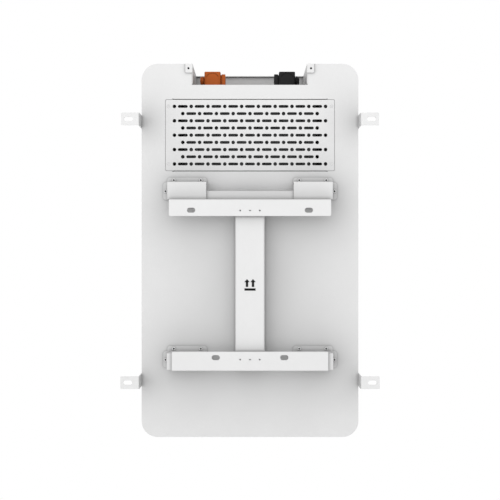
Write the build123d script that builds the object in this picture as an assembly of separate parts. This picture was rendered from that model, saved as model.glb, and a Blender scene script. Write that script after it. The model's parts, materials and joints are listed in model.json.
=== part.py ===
"""Wall battery unit: a sheet-metal battery cabinet that hooks onto a welded wall bracket.

Frame: X across the unit, +Y towards the wall, +Z up. The wall is the plane y = 0 and the origin lies
midway between the wall bracket's two upper slots. Every size is in millimetres.
"""

import os
from math import radians, tan

from build123d import *

# Cabinet.
CASE_WIDTH = 418.0
CASE_HEIGHT = 720.0
CASE_DEPTH = 162.0
CASE_RADIUS = 31.0
CASE_MIDDLE_Z = -76.0
WALL_GAP = 45.0
SHEET = 1.5
COVER_DEPTH = 12.0
COVER_EDGE_RADIUS = 4.0
SEAM_GAP = 0.3
LIP_INSET = 2.0
FLANGE_INSET = 13.0

# Perforated vent panel.
VENT_WIDTH = 325.6
VENT_HEIGHT = 136.7
VENT_MIDDLE_Z = 146.3
VENT_PITCH_X = 32.4
VENT_PITCH_Z = 13.88
VENT_HOLE_RADIUS = 3.5
VENT_SLOT = (19.0, 5.4)
VENT_LONG_ROW = 10
VENT_ROWS = 9
VENT_SCREWS = (157.4, 55.5)
VENT_HEAD_RADIUS = 2.7
VENT_SEAM = 0.75
VENT_RELIEF_X = 148.7

# Terminal recess in the top of the cabinet; its parts are drawn about x = 0 and moved over by RECESS_X.
RECESS_X = 0.5
RECESS_HALF_WIDTH = 110.5
RECESS_EDGE_Z = 243.4
RECESS_FLOOR_Z = 221.0
RECESS_CORNER_RADIUS = 2.0
TAB_OUTER_X = 124.3
TAB_LOW_Z = 266.7
TAB_HOLE = (118.2, 275.2)
TAB_HOLE_RADIUS = 2.1
PORT_X = 16.0
STUD_Y = -160.0

# Wall bracket.
RAIL_SHEET = 2.0
RAIL_CORNER_RADIUS = 3.0
UPPER_RAIL_HALF = 153.3
UPPER_RAIL_Z = (-11.0, 21.0)
HOOK_LIP_TOP_Z = 37.2
HOOK_STEP = 19.0
LOWER_RAIL_HALF = 147.9
LOWER_RAIL_Z = (-304.0, -267.2)
LOWER_RAIL_FLANGE = 20.0
WALL_SLOT_LENGTH = 15.5
WALL_SLOT_RADIUS = 4.75
UPPER_SLOT_X = 111.2
LOWER_SLOT_X = 64.7
LOWER_SLOT_Z = -278.4
WELD_HOLE_X = 18.5
WELD_HOLE_RADIUS = 1.5
WELD_SLOT = (4.0, 2.2)
UPPER_WELD_Z = -0.6
LOWER_WELD_Z = -282.1
SPINE_HALF = 28.0
SPINE_WEB_Y = -6.0
SPINE_FLANGE_Y = -41.0

# Brackets on the cabinet's back.
BRACKET_OUTER_X = 157.3
BRACKET_INNER_X = 83.2
BRACKET_FLANGE_X = 159.2
FLANGE_CORNER_RADIUS = 5.5
HANGER_FACE_Y = -13.0
STANDOFF_FACE_Y = -3.0
HANGER_Z = (21.4, 55.0)
HANGER_FLANGE_TOP_Z = 64.4
STANDOFF_Z = (-301.7, -269.9)
STANDOFF_FLANGE_TOP_Z = -259.8
SIDE_FLANGE_X = 167.4
TOP_SCREW_X = (94.9, 146.8)
SIDE_SCREW_X = 162.8
HANGER_TOP_SCREW_Z = 59.2
HANGER_SIDE_SCREW_Z = 37.9
STANDOFF_TOP_SCREW_Z = -265.3
STANDOFF_SIDE_SCREW_Z = -286.6

# Side ears.
EAR_OUTER_X = (243.4, 244.9)
EAR_HALF_HEIGHT = 11.8
EAR_Z = (172.5, -325.9)
EAR_SLOT_FROM_END = 13.8
EAR_SLOT_LENGTH = 17.0
EAR_SLOT_RADIUS = 4.0
EAR_FLANGE_DEPTH = 80.0
EAR_SCREW_Y = (-56.0, -71.0)

# Power terminals.
TERMINAL_X = 73.7
TERMINAL_Y = -112.0
PIN_RADIUS = 4.0
BARREL_RADIUS = 11.0
BARREL_TOP_Z = 240.0
COLLAR_RADIUS = 14.6
COLLAR_Z = (225.4, 244.9)
COLLAR_THROAT_RADIUS = 9.5
SOCKET_SCREW_OFFSET = 14.0
ELBOW_HALF = 15.9
ELBOW_Z = (245.6, 277.3)
ELBOW_ARCH_RADIUS = 12.4
ELBOW_GROOVE_RADIUS = 13.3
ELBOW_GROOVE_ARCS = ((22, 62), (-18, 18), (-62, -22))
CABLE_Z = 261.0
CABLE_BORE_RADIUS = 5.8
NUT_END_X = 24.6
NUT_RADIUS = 7.6
NUT_RIM_RADIUS = 9.0
NUT_BORE_RADIUS = 5.3
BUTTON_END_X = 25.3
BUTTON_Z_RANGE = (250.0, 273.2)
RUNNING_GAP = 0.3

# Battery module.
CELL_SIZE = (160.0, 118.0, 50.0)
CELL_PITCH = 51.0
CELL_COUNT = 8
CELL_X = 82.0
CELL_BACK_Y = -54.0
CELL_LOW_Z = -420.0
TERMINAL_POST_X = 45.0
END_PLATE = 8.0
CABLE_RADIUS = 5.5

# Front panel controls.
INDICATOR_Z = 150.0
INDICATOR_HALF = 40.0
BUTTON_Z = 118.0
BUTTON_RADIUS = 6.7

# Screws: shank radii.
COVER_SHANK = 1.9
BRACKET_SHANK = 1.9
EAR_SHANK = 2.4
SMALL_SHANK = 1.5

# Values worked out from the ones above.
BACK_Y = -WALL_GAP
FRONT_Y = BACK_Y - CASE_DEPTH
SEAM_Y = FRONT_Y + COVER_DEPTH
COVER_BACK_Y = SEAM_Y - SEAM_GAP
LIP_FRONT_Y = FRONT_Y + 2 * SHEET
CASE_TOP = CASE_MIDDLE_Z + CASE_HEIGHT / 2
CASE_BOTTOM = CASE_MIDDLE_Z - CASE_HEIGHT / 2
CASE_SIDE = CASE_WIDTH / 2
CELL_FRONT_Y = CELL_BACK_Y - CELL_SIZE[1]
CELL_TOP_Z = CELL_LOW_Z + CELL_PITCH * (CELL_COUNT - 1) + CELL_SIZE[2]
TRAY_WALL_X = RECESS_HALF_WIDTH + SHEET
TRAY_FRONT_Y = LIP_FRONT_Y + SHEET + 0.2
TRAY_TOP_Z = CASE_TOP - SHEET - 0.7

parts = {}


# --- shared shapes ---------------------------------------------------------------------------------


def block(x, y, z):
    """Block between a low and a high value on each axis."""
    size = [high - low for low, high in (x, y, z)]
    middle = [(low + high) / 2 for low, high in (x, y, z)]
    return Pos(*middle) * Box(*size)


def slab(sketch, back_y, depth):
    """A sketch drawn in X and Z, extruded from back_y towards the front."""
    return extrude(Plane.XZ.offset(-back_y) * sketch, amount=depth)


def rod(start, end, radius):
    """Round bar between two points."""
    path = Vector(*end) - Vector(*start)
    return extrude(Plane(origin=start, z_dir=path) * Circle(radius), amount=path.length)


def tube(start, end, radius, bore):
    """Round tube between two points."""
    return rod(start, end, radius) - rod(start, end, bore)


def case_outline(inset):
    """The cabinet's outline, seen from the front, shrunk by inset on every side."""
    width = CASE_WIDTH - 2 * inset
    height = CASE_HEIGHT - 2 * inset
    return Pos(0, CASE_MIDDLE_Z) * RectangleRounded(width, height, CASE_RADIUS - inset)


def folded_strip(points, bend, x_low, x_high, thickness):
    """Sheet folded along a mid-line of (y, z) points, running from x_low to x_high."""
    profile = trace(FilletPolyline(*points, radius=bend), line_width=thickness)
    return extrude(Plane.YZ.offset(x_low) * profile, amount=x_high - x_low)


def folded_upright(points, bend, z_low, z_high, thickness):
    """Sheet folded along a mid-line of (x, y) points, running from z_low to z_high."""
    profile = trace(FilletPolyline(*points, radius=bend), line_width=thickness)
    return extrude(Plane.XY.offset(z_low) * profile, amount=z_high - z_low)


def corner_cutter(corner, outwards, radius, back_y, depth):
    """Cutter that rounds one corner of a flat sheet; corner is (x, z) and outwards its two signs."""
    x, z = corner
    sx, sz = outwards
    square = Pos(x - sx * radius / 2, z - sz * radius / 2) * Rectangle(radius, radius)
    arc = Pos(x - sx * radius, z - sz * radius) * Circle(radius)
    return slab(square - arc, back_y, depth)


def pan_screw(seat, direction, shank_radius, length, head_radius, head_height):
    """Pan-head screw with a hexagon recess; its head's underside is at seat."""
    seat = Vector(*seat)
    along = Vector(*direction).normalized()
    top = seat - along * head_height
    head = rod(top, seat, head_radius)
    rim = head.edges().sort_by(Axis((0, 0, 0), along))[0]
    head = fillet(rim, head_height * 0.4)
    recess = Plane(origin=top, z_dir=along) * RegularPolygon(head_radius * 0.58, 6)
    return head + rod(seat, seat + along * length, shank_radius) - extrude(recess, amount=head_height + 1)


def mirrored(shape):
    """The same shape on the other side of the centre plane."""
    return mirror(shape, about=Plane.YZ)


def keep(name, *shapes):
    """Stores one node; separate solids in it stay separate."""
    solids = [solid for shape in shapes for solid in shape.solids()]
    parts[name] = solids[0] if len(solids) == 1 else Compound(children=solids)


# --- places of the screws ----------------------------------------------------------------------------


def bracket_screw_places():
    """Seats of the screws that hold the hangers and standoffs, as (x, z)."""
    places = []
    for top_z, side_z in (
        (HANGER_TOP_SCREW_Z, HANGER_SIDE_SCREW_Z),
        (STANDOFF_TOP_SCREW_Z, STANDOFF_SIDE_SCREW_Z),
    ):
        for side in (1, -1):
            places += [(side * x, top_z) for x in TOP_SCREW_X]
            places.append((side * SIDE_SCREW_X, side_z))
    return places


def vent_screw_places():
    """Seats of the vent panel's four screws, as (x, z)."""
    half_x, half_z = VENT_SCREWS
    return [(sx * half_x, VENT_MIDDLE_Z + sz * half_z) for sx in (1, -1) for sz in (1, -1)]


def cover_screw_places():
    """Seats of the front cover's rim screws, as (point, direction into the cabinet)."""
    y = (SEAM_Y + LIP_FRONT_Y) / 2
    places = []
    for z in (-380, -180, 20, 220):
        places.append(((CASE_SIDE, y, z), (-1, 0, 0)))
        places.append(((-CASE_SIDE, y, z), (1, 0, 0)))
    for x in (-150, 150):
        places.append(((x, y, CASE_TOP), (0, 0, -1)))
        places.append(((x, y, CASE_BOTTOM), (0, 0, 1)))
    return places


# --- cabinet -----------------------------------------------------------------------------------------


def rear_case():
    """Back shell: the back panel, the side walls and the lip that the front cover slides over."""
    depth = BACK_Y - SEAM_Y
    shell = slab(case_outline(0), BACK_Y, depth)
    shell -= slab(case_outline(SHEET), BACK_Y - SHEET, depth)
    shoulder = case_outline(SHEET / 2) - case_outline(LIP_INSET + SHEET)
    shell += slab(shoulder, SEAM_Y + 2, 2)
    lip = case_outline(LIP_INSET) - case_outline(LIP_INSET + SHEET)
    shell += slab(lip, SEAM_Y + 1, SEAM_Y + 1 - LIP_FRONT_Y)
    flange = case_outline(LIP_INSET) - case_outline(FLANGE_INSET)
    shell += slab(flange, LIP_FRONT_Y + SHEET, SHEET)
    shell += vent_ledge()
    shell -= slab(vent_window(), BACK_Y + 1, SHEET + 1)
    shell -= slab(recess_notch(), BACK_Y + 1, BACK_Y + 1 - (LIP_FRONT_Y + SHEET))
    return shell - rear_case_holes()


def recess_notch():
    """Notch that lets the terminal tray open upwards and towards the wall."""
    width = 2 * (TRAY_WALL_X + 0.2)
    height = 2 * (CASE_TOP - RECESS_EDGE_Z)
    return Pos(RECESS_X, CASE_TOP) * RectangleRounded(width, height, RECESS_CORNER_RADIUS)


def vent_window():
    """Opening for the vent panel; its long edges stand a little further off between the bend reliefs."""
    window = RectangleRounded(VENT_WIDTH + 2 * VENT_SEAM, VENT_HEIGHT + 2 * VENT_SEAM, 3)
    window += Rectangle(2 * VENT_RELIEF_X, VENT_HEIGHT + 4 * VENT_SEAM)
    for sx in (1, -1):
        for sz in (1, -1):
            window += Pos(sx * VENT_RELIEF_X, sz * (VENT_HEIGHT / 2 + 1)) * Circle(1.4)
    return Pos(0, VENT_MIDDLE_Z) * window


def vent_ledge():
    """Two strips inside the window that the vent panel's short edges rest on."""
    strips = Rectangle(VENT_WIDTH + 7, VENT_HEIGHT + 7) - Rectangle(2 * VENT_RELIEF_X, VENT_HEIGHT + 8)
    return slab(Pos(0, VENT_MIDDLE_Z) * strips, BACK_Y - SHEET, SHEET)


def rear_case_holes():
    """Every screw hole through the rear case."""
    holes = []
    for x, z in bracket_screw_places():
        holes.append(rod((x, BACK_Y + 1, z), (x, BACK_Y - 4, z), BRACKET_SHANK))
    for x, z in vent_screw_places():
        holes.append(rod((x, BACK_Y, z), (x, BACK_Y - 5, z), SMALL_SHANK))
    for side in (1, -1):
        x, z = RECESS_X + side * TAB_HOLE[0], TAB_HOLE[1]
        holes.append(rod((x, BACK_Y + 1, z), (x, BACK_Y - 4, z), TAB_HOLE_RADIUS))
        for ear_z in EAR_Z:
            for y in EAR_SCREW_Y:
                start = (side * (CASE_SIDE + 1), y, ear_z)
                holes.append(rod(start, (side * (CASE_SIDE - 4), y, ear_z), EAR_SHANK))
    for seat, into in cover_screw_places():
        end = Vector(*seat) + Vector(*into) * 8
        holes.append(rod(seat, end, COVER_SHANK))
    return holes


def front_cover():
    """Shallow tray that closes the front; its rim slides over the rear case's lip."""
    depth = COVER_BACK_Y - FRONT_Y
    outer = slab(case_outline(0), COVER_BACK_Y, depth)
    outer = fillet(outer.edges().group_by(Axis.Y)[0], COVER_EDGE_RADIUS)
    inner = slab(case_outline(SHEET), COVER_BACK_Y + 1, depth + 1 - SHEET)
    inner = fillet(inner.edges().group_by(Axis.Y)[0], COVER_EDGE_RADIUS - SHEET)
    cover = outer - inner
    cover -= slab(Pos(0, INDICATOR_Z) * SlotOverall(2 * INDICATOR_HALF, 4.4), FRONT_Y + 3, 5)
    cover -= rod((0, FRONT_Y + 3, BUTTON_Z), (0, FRONT_Y - 1, BUTTON_Z), BUTTON_RADIUS + RUNNING_GAP)
    for seat, into in cover_screw_places():
        start = Vector(*seat) - Vector(*into)
        cover -= rod(start, start + Vector(*into) * 4, COVER_SHANK)
    return cover


def cover_gasket():
    """Foam ring pressed between the case's flange and the cover."""
    ring = case_outline(7) - case_outline(12.5)
    return slab(ring, LIP_FRONT_Y, SHEET)


def vent_grille():
    """Perforated panel: long rows of holes and slots, with shorter rows between them."""
    plate = RectangleRounded(VENT_WIDTH, VENT_HEIGHT, 2.5)
    cuts = []
    for row in range(VENT_ROWS):
        holes = VENT_LONG_ROW - row % 2
        z = VENT_PITCH_Z * (row - (VENT_ROWS - 1) / 2)
        first_x = -VENT_PITCH_X * (holes - 1) / 2
        for column in range(holes):
            x = first_x + column * VENT_PITCH_X
            cuts.append(Pos(x, z) * Circle(VENT_HOLE_RADIUS))
            if column < holes - 1:
                cuts.append(Pos(x + VENT_PITCH_X / 2, z) * SlotOverall(*VENT_SLOT))
    panel = slab(Pos(0, VENT_MIDDLE_Z) * (plate - cuts), BACK_Y, SHEET)
    return panel - [vent_screw_cone(x, z, VENT_HEAD_RADIUS + 0.3) for x, z in vent_screw_places()]


def vent_screw_cone(x, z, radius):
    """Countersunk head or its seat; radius is measured at the vent panel's surface."""
    return Pos(x, BACK_Y - SHEET / 2, z) * Rot(-90, 0, 0) * Cone(SMALL_SHANK, radius, SHEET)


def grille_screws():
    """Countersunk screws, flush with the vent panel."""
    screws = []
    for x, z in vent_screw_places():
        shank = rod((x, BACK_Y - SHEET, z), (x, BACK_Y - 6, z), SMALL_SHANK)
        recess = Plane(origin=(x, BACK_Y, z), z_dir=(0, -1, 0)) * RegularPolygon(1.2, 6)
        screws.append(vent_screw_cone(x, z, VENT_HEAD_RADIUS) + shank - extrude(recess, amount=0.35))
    return screws


# --- terminal recess ---------------------------------------------------------------------------------


def terminal_tray():
    """Open-topped pan for the power terminals, with a drilled tab folded over each side of the notch."""
    inside = (-RECESS_HALF_WIDTH, RECESS_HALF_WIDTH)
    outside = (-TRAY_WALL_X, TRAY_WALL_X)
    inner_back = BACK_Y - 2 * SHEET
    tray = block(outside, (TRAY_FRONT_Y, BACK_Y - SHEET), (RECESS_FLOOR_Z - SHEET, CASE_TOP))
    tray -= block(inside, (TRAY_FRONT_Y + SHEET, inner_back), (RECESS_FLOOR_Z, CASE_TOP + 1))
    tray -= block(inside, (inner_back - 1, BACK_Y), (RECESS_EDGE_Z, CASE_TOP + 1))
    beyond = (-TRAY_WALL_X - 1, TRAY_WALL_X + 1)
    tray -= block(beyond, (TRAY_FRONT_Y - 1, SEAM_Y + 2.3), (TRAY_TOP_Z, CASE_TOP + 1))
    wall_end = block(
        (RECESS_HALF_WIDTH, TRAY_WALL_X),
        (BACK_Y - SHEET, BACK_Y),
        (RECESS_EDGE_Z + RECESS_CORNER_RADIUS, CASE_TOP),
    )
    tab = tray_tab()
    tray += [wall_end, tab, mirrored(wall_end), mirrored(tab)]
    return tray - tray_floor_holes()


def tray_tab():
    """Tab folded outwards over the back panel, with one screw hole."""
    width = TAB_OUTER_X - RECESS_HALF_WIDTH
    height = CASE_TOP - TAB_LOW_Z
    outline = Pos(RECESS_HALF_WIDTH + width / 2, TAB_LOW_Z + height / 2) * Rectangle(width, height)
    corner = outline.vertices().sort_by(Axis.X)[-2:].sort_by(Axis.Y)[0]
    outline = fillet(corner, 2.5)
    x, z = TAB_HOLE
    return slab(outline - Pos(x, z) * Circle(TAB_HOLE_RADIUS), BACK_Y + SHEET, SHEET)


def tray_floor_holes():
    """Holes in the tray's floor for the terminals, the signal ports and the earth stud."""
    low = RECESS_FLOOR_Z - 5
    high = RECESS_FLOOR_Z + 1
    holes = []
    for x in (TERMINAL_X, -TERMINAL_X):
        holes.append(rod((x, TERMINAL_Y, low), (x, TERMINAL_Y, high), 12.5))
        for dx, dy in receptacle_screw_places():
            screw_x, screw_y = x + dx, TERMINAL_Y + dy
            holes.append(rod((screw_x, screw_y, low), (screw_x, screw_y, high), SMALL_SHANK))
    for x in (PORT_X, -PORT_X):
        holes.append(rod((x, TERMINAL_Y, low), (x, TERMINAL_Y, high), 8))
    holes.append(rod((0, STUD_Y, low), (0, STUD_Y, high), 3))
    return holes


def receptacle_screw_places():
    """Screw offsets from a terminal's axis, as (x, y)."""
    offset = SOCKET_SCREW_OFFSET
    return [(sx * offset, sy * offset) for sx in (1, -1) for sy in (1, -1)]


def receptacle():
    """Panel socket on the tray's floor: a square flange, a locking barrel and a body below the floor."""
    flange = Plane.XY.offset(RECESS_FLOOR_Z) * RectangleRounded(36, 36, 4)
    body = Pos(TERMINAL_X, TERMINAL_Y, 0) * extrude(flange, amount=4)
    centre = (TERMINAL_X, TERMINAL_Y)
    body += rod((*centre, RECESS_FLOOR_Z - 16), (*centre, RECESS_FLOOR_Z), 12.3)
    body += rod((*centre, RECESS_FLOOR_Z), (*centre, BARREL_TOP_Z), BARREL_RADIUS)
    body -= rod((*centre, RECESS_FLOOR_Z + 7), (*centre, BARREL_TOP_Z + 1), 8)
    body -= rod((*centre, RECESS_FLOOR_Z - 17), (*centre, RECESS_FLOOR_Z + 8), PIN_RADIUS)
    groove_z = BARREL_TOP_Z - 6
    body -= tube((*centre, groove_z), (*centre, groove_z + 2), BARREL_RADIUS + 1, BARREL_RADIUS - 0.8)
    for dx, dy in receptacle_screw_places():
        x, y = TERMINAL_X + dx, TERMINAL_Y + dy
        body -= rod((x, y, RECESS_FLOOR_Z - 1), (x, y, RECESS_FLOOR_Z + 5), SMALL_SHANK)
    return body


def terminal_pin():
    """Contact pin with a nut on its stud below the socket."""
    centre = (TERMINAL_X, TERMINAL_Y)
    low = RECESS_FLOOR_Z - 29
    pin = rod((*centre, low), (*centre, BARREL_TOP_Z - 2), PIN_RADIUS)
    pin = chamfer(pin.edges().sort_by(Axis.Z)[-1], 1)
    pin += rod((*centre, RECESS_FLOOR_Z - 19), (*centre, RECESS_FLOOR_Z - 16), 8)
    nut = Plane.XY.offset(RECESS_FLOOR_Z - 26) * RegularPolygon(7, 6)
    return pin + Pos(TERMINAL_X, TERMINAL_Y, 0) * extrude(nut, amount=6)


def receptacle_screws():
    """Small screws through both socket flanges."""
    screws = []
    seat_z = RECESS_FLOOR_Z + 4
    for x in (TERMINAL_X, -TERMINAL_X):
        for dx, dy in receptacle_screw_places():
            seat = (x + dx, TERMINAL_Y + dy, seat_z)
            screws.append(pan_screw(seat, (0, 0, -1), SMALL_SHANK, 9, 2.6, 1.6))
    return screws


def lock_collar():
    """Ring that snaps onto the socket's barrel; the elbow turns in its upper flange."""
    centre = (TERMINAL_X, TERMINAL_Y)
    low, high = COLLAR_Z
    ring = rod((*centre, low), (*centre, high), COLLAR_RADIUS)
    ring = fillet(ring.edges().sort_by(Axis.Z)[-1], 1)
    ring -= rod((*centre, low - 1), (*centre, high - 2.8), BARREL_RADIUS + RUNNING_GAP)
    ring -= rod((*centre, high - 3), (*centre, high + 1), COLLAR_THROAT_RADIUS)
    grips = PolarLocations(COLLAR_RADIUS + 0.6, 18)
    for place in grips:
        ring -= Pos(TERMINAL_X, TERMINAL_Y, (low + high) / 2) * place * Cylinder(1.3, 12)
    return ring


def plug_elbow():
    """Right-angle plug housing with its swivel neck, cable spigot and release-button guard."""
    low, high = ELBOW_Z
    half = ELBOW_HALF
    centre = (TERMINAL_X, TERMINAL_Y)
    housing = extrude(Plane.XY.offset(low) * RectangleRounded(2 * half, 2 * half, 3), amount=high - low)
    housing = fillet(housing.faces().sort_by(Axis.Z)[-1].edges(), 1.6)
    housing = Pos(TERMINAL_X, TERMINAL_Y, 0) * housing
    housing += elbow_arches()
    housing -= elbow_grooves()
    housing += rod((*centre, BARREL_TOP_Z + 0.4), (*centre, low), COLLAR_THROAT_RADIUS - RUNNING_GAP)
    housing += rod((*centre, BARREL_TOP_Z + 0.4), (*centre, COLLAR_Z[1] - 3.2), 10.6)
    spigot_end = (TERMINAL_X + 22, TERMINAL_Y, CABLE_Z)
    housing += rod((TERMINAL_X + half - 1, TERMINAL_Y, CABLE_Z), spigot_end, 6.6)
    housing += button_guard()
    housing -= rod((*centre, BARREL_TOP_Z), (*centre, CABLE_Z + 6), 6)
    housing -= rod((TERMINAL_X, TERMINAL_Y, CABLE_Z), spigot_end, CABLE_BORE_RADIUS)
    return housing - button_pocket()


def elbow_arches():
    """Raised arch on both broad faces of the elbow."""
    low = ELBOW_Z[0] + 2
    radius = ELBOW_ARCH_RADIUS
    arch = Pos(0, CABLE_Z) * Circle(radius)
    arch += Pos(0, (low + CABLE_Z) / 2) * Rectangle(2 * radius, CABLE_Z - low)
    arch = Pos(TERMINAL_X, 0) * arch
    back = slab(arch, TERMINAL_Y + ELBOW_HALF + 0.6, 1.2)
    front = slab(arch, TERMINAL_Y - ELBOW_HALF + 0.6, 1.2)
    return [back, front]


def elbow_grooves():
    """Grooves round the crown of both arches, in three short arcs."""
    cutters = []
    for first, last in ELBOW_GROOVE_ARCS:
        arc = CenterArc((0, 0), ELBOW_GROOVE_RADIUS, 90 + first, last - first)
        band = Pos(TERMINAL_X, CABLE_Z) * trace(arc, line_width=1.3)
        cutters.append(slab(band, TERMINAL_Y + ELBOW_HALF + 1, 2.4))
        cutters.append(slab(band, TERMINAL_Y - ELBOW_HALF + 1.4, 2.4))
    return cutters


def button_guard():
    """Boss that guides the release button: its stem slides inside and its cap slides over it."""
    low, high = BUTTON_Z_RANGE
    x = (TERMINAL_X - BUTTON_END_X + 4.1, TERMINAL_X - ELBOW_HALF + 1)
    guard = block(x, (TERMINAL_Y - 7.9, TERMINAL_Y + 7.9), (low + 1.6, high - 1.6))
    return fillet(guard.edges().filter_by(Axis.X), 1)


def button_pocket():
    """Hollow that the release button's stem slides in."""
    low, high = BUTTON_Z_RANGE
    x = (TERMINAL_X - BUTTON_END_X, TERMINAL_X - ELBOW_HALF + 0.6)
    return block(x, (TERMINAL_Y - 6.3, TERMINAL_Y + 6.3), (low + 5.2, high - 5.2))


def plug_button():
    """Release button: a ribbed cap on a square stem."""
    low, high = BUTTON_Z_RANGE
    end = TERMINAL_X - BUTTON_END_X
    cap = block((end, end + 7.4), (TERMINAL_Y - 9.5, TERMINAL_Y + 9.5), (low, high))
    cap = fillet(cap.edges().filter_by(Axis.X), 2)
    cap = chamfer(cap.faces().sort_by(Axis.X)[0].edges(), 0.5)
    cap -= block((end + 2.3, end + 9), (TERMINAL_Y - 8.2, TERMINAL_Y + 8.2), (low + 1.3, high - 1.3))
    stem = block((end + 2, end + 8), (TERMINAL_Y - 6, TERMINAL_Y + 6), (low + 5.5, high - 5.5))
    ribs = [
        block((end - 0.4, end + 0.5), (TERMINAL_Y - 6, TERMINAL_Y + 6), (z - 0.45, z + 0.45))
        for z in range(256, 269, 3)
    ]
    return cap + stem + ribs


def plug_contact():
    """Female contact: an upright socket with a crimp barrel that points at the cable entry."""
    centre = (TERMINAL_X, TERMINAL_Y)
    contact = rod((*centre, RECESS_FLOOR_Z + 8), (*centre, CABLE_Z + 5.5), 5.9)
    barrel_end = (TERMINAL_X + 15, TERMINAL_Y, CABLE_Z)
    contact += rod((*centre, CABLE_Z), barrel_end, 5.0)
    contact -= rod((*centre, RECESS_FLOOR_Z + 7), (*centre, BARREL_TOP_Z + 2), PIN_RADIUS + 0.1)
    crimp_start = (TERMINAL_X + 7, TERMINAL_Y, CABLE_Z)
    return contact - rod(crimp_start, barrel_end, 3.8)


def cable_nut():
    """Clamping nut on the cable spigot, with a raised rim and a rounded nose."""
    start = TERMINAL_X + ELBOW_HALF + 0.5
    end = TERMINAL_X + NUT_END_X
    axis = (TERMINAL_Y, CABLE_Z)
    nut = rod((start, *axis), (end, *axis), NUT_RADIUS)
    nut = fillet(nut.edges().sort_by(Axis.X)[-1], 1.8)
    for turn in range(0, 360, 30):
        spoke = Pos(0, *axis) * Rot(turn, 0, 0) * Pos(end - 3, 0, NUT_RADIUS + 0.5)
        nut -= spoke * Rot(0, 90, 0) * Cylinder(0.9, 7)
    rim = rod((start + 2.2, *axis), (start + 4.6, *axis), NUT_RIM_RADIUS)
    nut += fillet(rim.edges().sort_by(Axis.X)[-1], 0.8)
    nut -= rod((start - 1, *axis), (TERMINAL_X + 22.4, *axis), 6.9)
    return nut - rod((start, *axis), (end + 1, *axis), NUT_BORE_RADIUS)


def signal_ports():
    """Two capped round signal sockets between the power terminals."""
    ports = []
    for side in (1, -1):
        centre = (side * PORT_X, TERMINAL_Y)
        port = rod((*centre, RECESS_FLOOR_Z - 18), (*centre, RECESS_FLOOR_Z), 7.8)
        port += rod((*centre, RECESS_FLOOR_Z), (*centre, RECESS_FLOOR_Z + 3), 11)
        cap = rod((*centre, RECESS_FLOOR_Z + 3), (*centre, RECESS_FLOOR_Z + 12), 9.5)
        ports.append(port + fillet(cap.edges().sort_by(Axis.Z)[-1], 1.2))
    return ports


def earth_stud():
    """Threaded earth stud with its nut on the tray's floor."""
    stud = rod((0, STUD_Y, RECESS_FLOOR_Z - 8), (0, STUD_Y, RECESS_FLOOR_Z + 14), 3)
    nut = Plane.XY.offset(RECESS_FLOOR_Z) * RegularPolygon(5.8, 6)
    return stud + Pos(0, STUD_Y, 0) * extrude(nut, amount=5)


# --- wall bracket ------------------------------------------------------------------------------------


def rail_slots(x, z):
    """Cutters for a rail's two wall slots."""
    slot = SlotOverall(WALL_SLOT_LENGTH, 2 * WALL_SLOT_RADIUS)
    return [slab(Pos(side * x, z) * slot, 1, RAIL_SHEET + 2) for side in (1, -1)]


def weld_holes(z):
    """Cutters for the row of two round holes and a short slot where a rail meets the spine."""
    shapes = [Pos(side * WELD_HOLE_X, z) * Circle(WELD_HOLE_RADIUS) for side in (1, -1)]
    shapes.append(Pos(0, z) * SlotOverall(*WELD_SLOT))
    return [slab(shape, 1, RAIL_SHEET + 1) for shape in shapes]


def rail_corner_cutters(half_width, z, upwards):
    """Cutters that round a rail's two free corners; upwards is +1 for top corners, -1 for bottom ones."""
    corners = [((side * half_width, z), (side, upwards)) for side in (1, -1)]
    return [
        corner_cutter(corner, outwards, RAIL_CORNER_RADIUS, 1, RAIL_SHEET + 2)
        for corner, outwards in corners
    ]


def upper_wall_rail():
    """Upper rail: wall plate, step away from the wall, and the upright lip that the hangers hook over."""
    low, high = UPPER_RAIL_Z
    mid = RAIL_SHEET / 2
    lip_y = -HOOK_STEP + mid
    points = [(-mid, low), (-mid, high - mid), (lip_y, high - mid), (lip_y, HOOK_LIP_TOP_Z)]
    rail = folded_strip(points, 1.6, -UPPER_RAIL_HALF, UPPER_RAIL_HALF, RAIL_SHEET)
    rail -= rail_slots(UPPER_SLOT_X, 0)
    rail -= weld_holes(UPPER_WELD_Z)
    return rail - rail_corner_cutters(UPPER_RAIL_HALF, low, -1)


def lower_wall_rail():
    """Lower rail: wall plate with a stiffening flange along its bottom edge."""
    low, high = LOWER_RAIL_Z
    mid = RAIL_SHEET / 2
    points = [(-mid, high), (-mid, low + mid), (-LOWER_RAIL_FLANGE, low + mid)]
    rail = folded_strip(points, 1.6, -LOWER_RAIL_HALF, LOWER_RAIL_HALF, RAIL_SHEET)
    rail -= rail_slots(LOWER_SLOT_X, LOWER_SLOT_Z)
    rail -= weld_holes(LOWER_WELD_Z)
    return rail - rail_corner_cutters(LOWER_RAIL_HALF, high, 1)


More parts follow.
